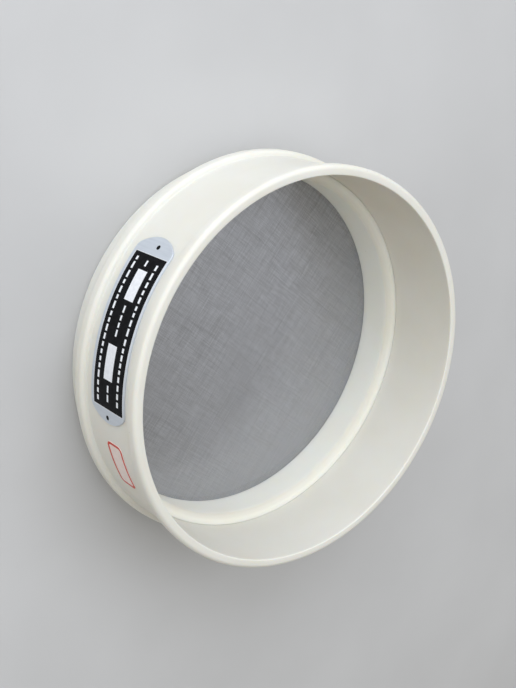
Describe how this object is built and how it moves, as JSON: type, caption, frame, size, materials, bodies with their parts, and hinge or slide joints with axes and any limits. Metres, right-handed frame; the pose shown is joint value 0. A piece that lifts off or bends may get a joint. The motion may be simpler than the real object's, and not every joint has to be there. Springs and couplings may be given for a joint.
{
  "type": "stackable round sieve",
  "caption": "Round moulded plastic sieve with a socket on top, a nesting spigot below and fine wire cloth stretched across the bottom by a press-in hoop.",
  "frame": {"origin": "centre of the foot's underside, where the sieve stands", "axes": "+Z along the sieve's axis, up through the mouth; the nameplate faces -Y and +X is to its right"},
  "size_m": [0.21, 0.21, 0.0679],
  "materials": {
    "frame_plastic": "satin ivory moulding, slightly translucent",
    "hoop_plastic": "satin ivory moulding, slightly translucent",
    "wire_steel": "fine grey wire",
    "plate_metal": "satin plate with a black printed field",
    "label_film": "pale film with a red edge"
  },
  "bodies": {
    "root": {"sieve_frame": "frame_plastic", "mesh_hoop": "hoop_plastic", "wire_cloth": "wire_steel", "nameplate": "plate_metal", "inspection_sticker": "label_film"}
  },
  "joints": []
}
